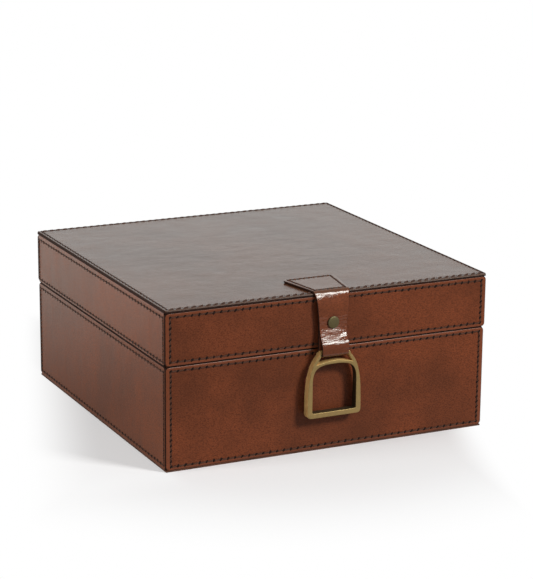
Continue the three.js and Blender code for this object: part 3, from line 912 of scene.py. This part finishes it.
heaps = {where: (Heap(), Heap()) for where in ("lid", "lid_top", "base")}
for node, (side, rows, body) in sewn.items():
    lean = side.across * 0.5 + side.up * 0.866
    where = "lid_top" if node == "lid_leather_top" else body
    for number, (holes, aside) in enumerate(panel_holes(side, rows)):
        if where == "lid_top":
            touch = fine_touch if number else rope_touch
        else:
            touch = flank_touch if node.endswith(("left", "right")) else front_touch
        sew(*heaps[where], holes, aside, lean, side.out, *touch)
    print(node, "sewn")

# %% [markdown]
# ## The strap
#
# One strip of leather makes the whole pull. It starts as a tab that widens towards the back
# of its place on the lid, bends over the edge, hangs down, goes round the stirrup's bar and
# comes up behind itself as far as the rivet. It is thick, glazed and creased where it has
# been bent, which is where the light breaks up on it.
#
# Cloth simulation would not keep a firm strip like this in place, so a section with burnished
# edges is drawn along the path that the packed solids follow. The path is a chain of lines
# and arcs in the plane through the strap's middle, given as places from front to back and up.
# Below the rivet the strap leans out over the bar, and how steeply it leans at each height
# decides where it catches the light.

# %% The strap's path
def bezier(a, b, c, d, steps):
    shares = np.linspace(0, 1, steps + 1)[:, None]
    a, b, c, d = (np.array(p, float) for p in (a, b, c, d))
    rest = 1 - shares
    return rest ** 3 * a + 3 * rest ** 2 * shares * b + 3 * rest * shares ** 2 * c + shares ** 3 * d


tab_back = -107.5
tab_level = 141.0
bend_middle = (-151.0, 138.0)
bend_radius = 3.0
bend_turn = math.radians(68)
hang_ease = 5
hang_reach = 5.5
hang_level = 125.0
ply_y = -156.25
tail_y = -154.35
bar = (-157.55, 88.6)
bar_radius = 2.0
loop_radius = 3.2
loop_bulge = 1.5
flare_end = (-162.45, 92.0)
flare_top = 110.0
rivet_z = 114.3
tail_top = 121.3
strap_thick = 1.8
station_step = 0.45
flare_z = (92, 94.5, 96.3, 97.2, 98.5, 101, 102, 103, 104.5, 107, 108, 109, 110)
flare_lean = (3, 11, 18, 25, 27, 26.5, 21, 16, 14.5, 14.5, 14, 9, 2)


def flare_line():
    """From the rivet down the ply leans out, most just above the loop."""
    heights = np.linspace(flare_top, flare_end[1], 37)
    slopes = np.tan(np.radians(np.interp(heights, flare_z, flare_lean)))
    reach = np.concatenate([[0], np.cumsum(slopes[1:] + slopes[:-1])])
    return [(ply_y + (flare_end[0] - ply_y) * share, z)
            for share, z in zip(reach / reach[-1], heights)]


def strap_path():
    """The strap's middle line, from the tab's back to the tail's end behind the rivet."""
    flat = [(y, tab_level) for y in np.linspace(tab_back, bend_middle[0], 30)]
    turns = np.linspace(0, bend_turn, 13)[1:]
    bend = [(bend_middle[0] - bend_radius * math.sin(t), bend_middle[1] + bend_radius * math.cos(t))
            for t in turns]
    y, z = bend[-1]
    after_bend = (y - hang_ease * math.cos(bend_turn), z - hang_ease * math.sin(bend_turn))
    hang = bezier((y, z), after_bend, (ply_y, hang_level + hang_reach), (ply_y, hang_level), 20)[1:]
    straight = [(ply_y, z) for z in np.linspace(hang_level, flare_top, 11)[1:]]
    flare = flare_line()[1:]
    turns = np.linspace(math.pi, 2 * math.pi, 19)[1:]
    loop = [(bar[0] + (loop_radius + loop_bulge * max(0, -math.cos(t))) * math.cos(t),
             bar[1] + loop_radius * math.sin(t)) for t in turns]
    tail = [(tail_y, z) for z in np.linspace(bar[1], tail_top, 22)[1:]]
    return np.array([*flat, *bend, *hang, *straight, *flare, *loop, *tail])


def resampled(path, step):
    """Stations one step apart along a path, and how far along it each one lies."""
    lengths = np.concatenate([[0], np.cumsum(np.linalg.norm(np.diff(path, axis=0), axis=1))])
    places = np.linspace(0, lengths[-1], round(lengths[-1] / step) + 1)
    return np.stack([np.interp(places, lengths, path[:, k]) for k in (0, 1)], axis=1), places


strap_line, strap_run = resampled(strap_path(), station_step)
front_end = int(np.argmin(strap_line[:, 0]))
print("strap is", round(strap_run[-1], 1), "mm long,", len(strap_line), "stations")

# %% [markdown]
# The width follows the photo: widest at the tab's back, a waist at the rivet, and round
# corners at both ends.

# %% The strap's width
tab_corner = 6.0
tail_corner = 4.0
tab_front = -152.5
tab_back_half = 25.5
tab_front_half = 16.8
hang_top = 139.5
loop_half = 12.5
width_z = (bar[1], rivet_z, 135.5, hang_top)
width_half = (loop_half, 13.2, 15.4, 16.5)


def tab_half(y):
    return float(np.interp(-y, (-tab_back, -tab_front), (tab_back_half, tab_front_half)))


def rounded_end(half, corner, from_end):
    """Half a width, less what a round corner takes off it near a cut end."""
    short = max(0.0, 1 - from_end / corner)
    return half - corner * (1 - math.sqrt(max(0.0, 1 - short ** 2)))


def half_width(index):
    y, z = strap_line[index]
    run = strap_run[index]
    if index > front_end:
        return rounded_end(loop_half, tail_corner, strap_run[-1] - run)
    if z > hang_top or y > bend_middle[0]:
        return rounded_end(tab_half(y), tab_corner, run)
    return float(np.interp(z, width_z, width_half))


print("strap is", 2 * tab_half(tab_back), "mm wide at the back and", 2 * loop_half, "at the bar")

# %% [markdown]
# Creases are noise that lifts the outer face, drawn out across the strap, and strongest
# between the rivet and the loop. The rivet draws the leather in round its rim, the bend over
# the lid's edge is a little uneven, and low on the right the leather is stretched full, so
# that side has few fine creases and shines whole.

# %% Creases
crease_z = (86, 93, 97, 100, 103, 106, 109, 113, 118)
crease_strength = (0.3, 0.5, 0.25, 0.35, 1.0, 1.0, 0.8, 0.5, 0.15)
fine_z = (86, 93, 97, 99, 101, 103, 109, 113, 118, 122)
fine_strength = (0.3, 0.5, 0.4, 0.5, 1.0, 1.3, 1.3, 1.6, 1.2, 0.2)
dent_depth = 0.28
dent_radius = 5.2
fold_z = 138
full_z = (89, 95, 98, 105)
full_lift = 0.5


def crease(x, run, z):
    """How far the outer face is lifted, with the most wrinkles under the rivet."""
    strong = np.interp(z, crease_z, crease_strength)
    broad = noise.noise(Vector((x * 0.12, run * 0.36, 3.1)))
    narrow = noise.noise(Vector((x * 0.28 + 5, run * 0.95, 7.7)))
    sharp = 1 - 2 * abs(noise.noise(Vector((x * 0.26, run * 0.85, 1.3))))
    from_rivet = math.hypot(x, z - rivet_z)
    dent = dent_depth * math.exp(-((from_rivet - dent_radius) / 1.6) ** 2)
    uneven = 0.014 * x + 0.14 * noise.noise(Vector((x * 0.2, 2.6, 9.4)))
    fold = uneven * math.exp(-((z - fold_z) / 2.5) ** 2)
    full = full_lift * np.clip((x - 3) / 7, 0, 1) * np.interp(z, full_z, (0, 1, 1, 0))
    wrinkles = 0.17 * broad + 0.15 * narrow + 0.06 * sharp - 0.05
    lift = strong * wrinkles - dent + fold + full
    return lift * min(1, (tab_level - z) / 1.5)


def creased_at(x, y, z):
    """How finely creased the outer face is; its right side is stretched smooth."""
    if y >= ply_y:
        return 0.0
    smooth = 0.75 * np.clip((x - 4) / 4, 0, 1) * np.interp(z, (107, 109), (1, 0))
    return float(np.interp(z, fine_z, fine_strength, right=0) * (1 - smooth))


print("creases are deepest", crease_z[crease_strength.index(max(crease_strength))], "mm up")

# %% [markdown]
# The section is a flat bar with rounded corners, and the faces between those corners are its
# cut edges. It has many points across the outer face, for the creases, and few behind.

# %% The strap's skin
face_steps = 41
back_steps = 13
section_corner = 0.55


def strap_section(half):
    """The outline of a cross section: place across and place through."""
    corner = section_corner
    thick = strap_thick / 2
    outline = [(x, thick) for x in np.linspace(-half + corner, half - corner, face_steps)]
    for turn in (60, 30):
        t = math.radians(turn)
        outline.append((half - corner + corner * math.cos(t), thick - corner + corner * math.sin(t)))
    outline += [(half, thick - corner), (half, corner - thick)]
    outline += [(x, -thick) for x in np.linspace(half - corner, corner - half, back_steps)]
    outline += [(-half, corner - thick), (-half, thick - corner)]
    for turn in (30, 60):
        t = math.radians(turn)
        outline.append((-half + corner - corner * math.cos(t), thick - corner + corner * math.sin(t)))
    return outline


def strap_mesh():
    points = []
    ahead = np.gradient(strap_line, axis=0)
    ahead /= np.linalg.norm(ahead, axis=1)[:, None]
    for index, (y, z) in enumerate(strap_line):
        out_y, out_z = ahead[index][1], -ahead[index][0]
        on_front = index <= front_end and z < tab_level - 0.01
        for k, (x, through) in enumerate(strap_section(half_width(index))):
            lift = crease(x, strap_run[index], z) if on_front and k < face_steps else 0
            off = through + lift
            points.append((x, y + out_y * off, z + out_z * off))
    count = len(points) // len(strap_line)
    second_edge = face_steps + 4 + back_steps
    edges = [*range(face_steps, face_steps + 3), *range(second_edge - 1, second_edge + 3)]
    faces = tube_faces(len(strap_line), count)
    cut = [k in edges for k in range(count)] * (len(strap_line) - 1)
    faces.append(list(range(count)))
    faces.append([len(points) - count + k for k in range(count)])
    return points, faces, [*cut, True, True]


points, faces, cut = strap_mesh()
numbers = {
    "tab": [1.0 if z > tab_level - 1 else 0.0 for x, y, z in points],
    "creased": [creased_at(*point) for point in points],
}
strap = piece_of("strap", points, faces, strap_leather, numbers, 50, cut)
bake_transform(strap)
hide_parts("strap_tab", "strap_hanging")
print("strap:", len(strap.data.vertices), "points")

# %% [markdown]
# The tab is sewn to the lid along its sides and back, and the lid's own front row goes
# through it. Its holes sit just inside its edges, on top of the leather, and a little closer
# together than on the panels. With that the sewing is done, so the heaps of stitches and
# marks turn into pieces: one of each for the base, the lid's sides and the lid's top.

# %% Sew the tab
tab_inset = 3.0
tab_pitch = 4.4
back_corner_cut = 1.5
thread_sink = 0.15
tab_top = tab_level + strap_thick / 2 - thread_sink
back_y = tab_back - tab_inset
row_y = top_side.corner[1] + top_rows["low"]
back_half = tab_half(back_y) - tab_inset - back_corner_cut
row_half = tab_half(row_y) - tab_inset
front_left, back_left, back_right, front_right = (
    np.array([x, y, tab_top]) for x, y in (
        (-row_half, row_y), (-back_half, back_y), (back_half, back_y), (row_half, row_y)))
up = np.array([0.0, 0.0, 1.0])
runs = ((front_left, back_left), (back_left, back_right),
        (back_right, front_right), (front_left, front_right))
for begin, end in runs:
    reach = np.linalg.norm(end - begin)
    holes = np.linspace(begin, end, round(reach / tab_pitch) + 1)
    aside = np.cross(up, (end - begin) / reach)
    sew(*heaps["lid"], holes, aside, np.array([0.5, 0.866, 0]), up, *front_touch)


def finish_heap(name, heap, material, body):
    piece = piece_of(name, heap.points, heap.faces, material, sharp=60)
    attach(piece, body)


for where, (stitches, marks) in heaps.items():
    body = where.split("_")[0]
    # The top's thread is greyer, a painted sheen.
    cord = top_thread if where == "lid_top" else waxed_thread
    finish_heap(f"{where}_stitching", stitches, cord, body)
    finish_heap(f"{where}_awl_marks", marks, hole_wax_and_shade, body)
    print(where, len(stitches.points) // (len(arch) * tube_sides), "stitches")

# %% [markdown]
# ## The rivet
#
# A dull brass cap with a low dome and a small rounded rim holds the two plies together. It
# is turned: one profile, spun round its post. At the foot of its rim the colour is made
# nearly black, a painted shade.

# %% Turn the rivet's cap
cap_back = -157.25
cap_top = 1.33
rim_foot = (4.9, 5.25)
cap_profile = [(1.3, -1.0), (1.3, 0.0), (4.9, 0.0), (5.3, 0.12), (5.4, 0.42), (5.32, 0.75),
               (5.05, 0.98), (4.6, 1.08), (3.6, 1.20), (2.4, 1.28), (1.2, 1.32)]


def turned_cap():
    turns = 48
    points = [(radius * x, cap_back - height, rivet_z + radius * z)
              for radius, height in cap_profile for x, z in circle(turns)]
    faces = tube_faces(len(cap_profile), turns)
    faces.append(list(range(turns)))
    points.append((0, cap_back - cap_top, rivet_z))
    last = (len(cap_profile) - 1) * turns
    faces += [(last + k, last + (k + 1) % turns, len(points) - 1) for k in range(turns)]
    return points, faces


points, faces = turned_cap()
# Painted shade at the foot of the rim.
foot_share = [float(np.interp(math.hypot(x, z - rivet_z), rim_foot, (0, 1)))
              for x, y, z in points]
rivet = piece_of("rivet_dome", points, faces, rivet_brass, {"inside": foot_share}, 70)
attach(rivet, "strap")
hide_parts("rivet_cap")
print("rivet:", len(rivet.data.vertices), "points")

# %% [markdown]
# ## The stirrup
#
# The stirrup is a miniature of a riding stirrup: a flat tread, two arms that lean together
# into a slimmer arch, and an eye with a round bar that the strap goes round. Its front is
# cast flat, its back is filed thinner towards the eye, and its corners are filed round. A
# filled curve with a bevel gives just that: the outline is drawn once, and the bevel rounds
# every edge of it, inside and out. Heights are measured from the middle of the bar.

# %% Draw the stirrup
foot = -56.3
half_stirrup = 25.4
foot_corner = 4.2
tread_thick = 4.5
arm_wide = 4.7
inner_corner = 1.5
eye_half = 12.9
eye_wall = 2.0
eye_top = 0.5
eye_side = -2.3
shoulder = (17.1, -9.3)
crown = -9.6
arch_thick = 3.0
arch_spring = -26.6
stirrup_bevel = 0.55
half_depth = 4.0


def quad(a, b, c, steps=8):
    shares = np.linspace(0, 1, steps + 1)[:, None]
    a, b, c = (np.array(p, float) for p in (a, b, c))
    return (1 - shares) ** 2 * a + 2 * (1 - shares) * shares * b + shares ** 2 * c


def mirrored(right_side):
    """A closed outline from its right half, which runs from the bottom to the top."""
    left_side = [(-x, z) for x, z in right_side[::-1]]
    return [tuple(p) for p in [*right_side, *left_side]]


def stirrup_outlines():
    side = foot + foot_corner
    slot = crown + arch_thick
    flank_top = eye_side + eye_wall - arch_thick / 2
    flank = flank_top - side
    outer = [
        *quad((half_stirrup - foot_corner, foot), (half_stirrup, foot), (half_stirrup, side)),
        *bezier((half_stirrup, side), (half_stirrup, side + flank * 0.49),
                (half_stirrup * 0.965, side + flank * 0.81),
                (eye_half + eye_wall, flank_top), 28)[1:],
        *quad((eye_half + eye_wall, eye_side), (eye_half + eye_wall, eye_top),
              (eye_half, eye_top))[1:],
        (eye_half, eye_side),
        shoulder,
        *quad(shoulder, (shoulder[0] * 0.5, slot), (0.01, slot), 10)[1:],
    ]
    low = foot + tread_thick
    inner_half = half_stirrup - arm_wide
    inner = [
        *quad((inner_half - inner_corner, low), (inner_half, low),
              (inner_half, low + inner_corner), 5),
        *bezier((inner_half, arch_spring), (inner_half, arch_spring * 0.19 + crown * 0.81),
                (inner_half * 0.81, crown), (0.01, crown), 28),
    ]
    return mirrored(outer), mirrored(inner)


outer, inner = stirrup_outlines()
print("stirrup's outlines have", len(outer), "and", len(inner), "points")

# %% [markdown]
# Blender extrudes and bevels the filled outline. Its points are then drawn forward at the
# back, and the bar, a plain cylinder across the eye, is added to the same piece.

# %% Cast the stirrup
thin_levels = (-50, -8)
thin_shares = (0.92, 0.82)


def thinned(through, level):
    """The front is flat, and the back comes forward from the tread up to the eye."""
    share = np.interp(level, thin_levels, thin_shares)
    return (through + half_depth) * share - half_depth


def outline_curve(outlines, depth):
    curve = bpy.data.curves.new("stirrup_outline", "CURVE")
    curve.dimensions = "2D"
    curve.fill_mode = "BOTH"
    curve.bevel_depth = stirrup_bevel
    curve.bevel_resolution = 3
    curve.offset = -stirrup_bevel
    curve.extrude = depth / 2 - stirrup_bevel
    for outline in outlines:
        spline = curve.splines.new("POLY")
        spline.points.add(len(outline) - 1)
        for point, (x, z) in zip(spline.points, outline):
            point.co = (x, z, 0, 1)
        spline.use_cyclic_u = True
    return curve


def stirrup_bar():
    turns = 40
    points = [(x, bar_radius * y, bar_radius * z)
              for x in (-eye_half, eye_half) for y, z in circle(turns)]
    return points, [*tube_faces(2, turns), list(range(turns)), list(range(turns, 2 * turns))]


def stirrup_mesh():
    flat = bpy.data.objects.new("stirrup_flat", outline_curve((outer, inner), 2 * half_depth))
    bpy.context.collection.objects.link(flat)
    drawn = bpy.data.meshes.new_from_object(
        flat.evaluated_get(bpy.context.evaluated_depsgraph_get()))
    work = bmesh.new()
    work.from_mesh(drawn)
    bmesh.ops.remove_doubles(work, verts=work.verts, dist=0.001)
    points = [(v.co.x, thinned(-v.co.z, v.co.y), v.co.y) for v in work.verts]
    faces = [[v.index for v in face.verts] for face in work.faces]
    work.free()
    bpy.data.objects.remove(flat)
    bar_points, bar_faces = stirrup_bar()
    start = len(points)
    faces += [[start + corner for corner in face] for face in bar_faces]
    placed = np.array([*points, *bar_points]) + np.array([0, *bar])
    return placed, faces


wall_reach = 1.5


def wall_share(points, line):
    """1 on the stirrup's walls along one outline, 0 elsewhere."""
    flat = points[:, [0, 2]] - np.array([0, bar[1]])
    near = np.array([np.min(np.linalg.norm(np.array(line) - point, axis=1)) for point in flat])
    skin = stirrup_bevel * 0.4
    through = points[:, 1] - bar[0]
    back = thinned(half_depth, flat[:, 1])
    on_wall = (through > skin - half_depth) & (through < back - skin)
    return np.where(on_wall & (near < wall_reach), 1.0, 0.0)


points, faces = stirrup_mesh()
numbers = {"inside": wall_share(points, inner), "outside": wall_share(points, outer)}
stirrup = piece_of("stirrup_cast", points, faces, satin_brass, numbers, 40)
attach(stirrup, "stirrup")
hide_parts("stirrup")
print("stirrup:", len(stirrup.data.vertices), "points")

# %% [markdown]
# ## The floor
#
# The box stands on a white sweep. The floor is a pale matt sheet that takes the soft shadow
# near the box, and further out the camera sees it as plain white. In gloss the floor is white
# behind the box and dim in front of it, a little brighter just below the stirrup. So the left
# side gets greyer towards the back, and the front stays brown.

# %% Floor
floor_size = 6.0
white = (1, 1, 1, 1)
shaded_paper = (0.4, 0.4, 0.4, 1)
lit_paper = (0.87, 0.87, 0.87, 1)
dim_mirror = (0.18, 0.18, 0.17, 1)
near_mirror = (0.5, 0.5, 0.48, 1)
bright_mirror = (1, 0.97, 0.90, 1)


def empty_bench(holder):
    """The bench of a material or a world, with its tree cleared."""
    holder.use_nodes = True
    holder.node_tree.nodes.clear()
    return Bench(holder.node_tree)


def floor_finish():
    material = bpy.data.materials.new("floor")
    sheet = empty_bench(material)
    place = sheet.place()
    away = sheet.node("ShaderNodeVectorMath", {"operation": "LENGTH"}, {0: place}, output="Value")
    across = sheet.part(place, "X")
    back = sheet.part(place, "Y")
    seen = sheet.ray("Camera")
    gloss = sheet.ray("Glossy")
    close = back.step(-0.32, -0.25) * back.step(-0.14, -0.16)
    near_front = sheet.tint(close, dim_mirror, near_mirror)
    in_gloss = sheet.tint(back.step(0, 0.62), near_front, bright_mirror)
    paper = sheet.tint(seen, shaded_paper, lit_paper)
    matt = sheet.node("ShaderNodeBsdfDiffuse", None, {"Color": paper})
    glow = sheet.node("ShaderNodeEmission", None, {"Color": sheet.tint(gloss, white, in_gloss)})
    left_clear = (across - back * 0.35).step(-0.15, -0.225)
    right_clear = (across - (back + 0.15) * 0.35).step(0.11, 0.15)
    clear = across.sum("MAXIMUM", left_clear, right_clear)
    clear = across.sum("MAXIMUM", clear, away.step(0.22, 0.38))
    beside = across.step(-0.14, -0.155) * back.step(-0.2, -0.15)
    pale = 0.04 + beside * 0.34
    share = seen * (pale + clear * (1 - pale)) + gloss
    mixed = sheet.node("ShaderNodeMixShader", None, {0: share, 1: matt, 2: glow})
    sheet.node("ShaderNodeOutputMaterial", None, {"Surface": mixed})
    return material


half_floor = floor_size / MM / 2
signs = ((-1, -1), (1, -1), (1, 1), (-1, 1))
floor_corners = [(x * half_floor, y * half_floor, 0) for x, y in signs]
floor = piece_of("floor", floor_corners, [(0, 1, 2, 3)], floor_finish())
print("floor:", floor_size, "m wide")

# %% [markdown]
# ## The world
#
# The camera sees a white studio. In gloss it is white behind the box, from the floor to some
# way up, and dim in front, so the lid's top looks grey. Matt surfaces get a weak even light,
# which keeps the shadows from going black.

# %% World
fill_light = 0.2
gloss_white = (0.97, 1, 0.99, 1)
studio = bpy.data.worlds.new("studio")
bpy.context.scene.world = studio
sky = empty_bench(studio)
looking = sky.node("ShaderNodeTexCoord", output="Generated")
seen = sky.ray("Camera")
gloss = sky.ray("Glossy")
back = sky.part(looking, "Y")
height = sky.part(looking, "Z")
backdrop = back.step(0.1, 0.6) * (1 - height.step(0.20, 0.36) * 0.5)
in_gloss = 0.24 + backdrop * 0.85
strength = seen + (1 - seen) * (gloss * in_gloss + (1 - gloss) * fill_light)
tinge = sky.tint(gloss, white, gloss_white)
glow = sky.node("ShaderNodeBackground", None, {"Color": tinge, "Strength": strength})
sky.node("ShaderNodeOutputWorld", None, {"Surface": glow})
print("world: plain light", fill_light)

# %% [markdown]
# ## The lamps
#
# Three soft boxes light it. The key on the right, fairly small, casts the shadows of the
# strap and the stirrup. The shine, a strip close by and a little green, shows only in gloss
# and lays the white bands on the strap's bends. A weak one on the left keeps that side from
# going dull.

# %% Lamps
aim = Vector((0, -0.1, 0.09))


def soft_lamp(name, azimuth, elevation, away, size, watts, lights, hue=(1, 1, 1)):
    """A soft box seen from the box at an azimuth (0 in front, 90 right) and elevation."""
    a = math.radians(azimuth)
    e = math.radians(elevation)
    place = aim + away * Vector((math.sin(a) * math.cos(e), -math.cos(a) * math.cos(e), math.sin(e)))
    lamp = bpy.data.lights.new(name, "AREA")
    lamp.shape = "RECTANGLE"
    lamp.size, lamp.size_y = size
    lamp.energy = watts
    lamp.color = hue
    holder = bpy.data.objects.new(name, lamp)
    holder.location = place
    holder.rotation_euler = (aim - place).to_track_quat("-Z", "Y").to_euler()
    holder.visible_glossy = lights != "matt"
    holder.visible_diffuse = lights != "gloss"
    bpy.context.collection.objects.link(holder)
    print("lamp", name, watts, "W for", lights)


soft_lamp("key", 37, 37, 3.0, (0.63, 0.63), 76.5, "matt")
soft_lamp("shine", 28, 28, 1.2, (0.5, 0.22), 8.0, "gloss", (0.94, 1, 0.95))
soft_lamp("left_fill", -88, 25, 1.4, (0.6, 0.6), 10.2, "matt")

# %% [markdown]
# ## Done
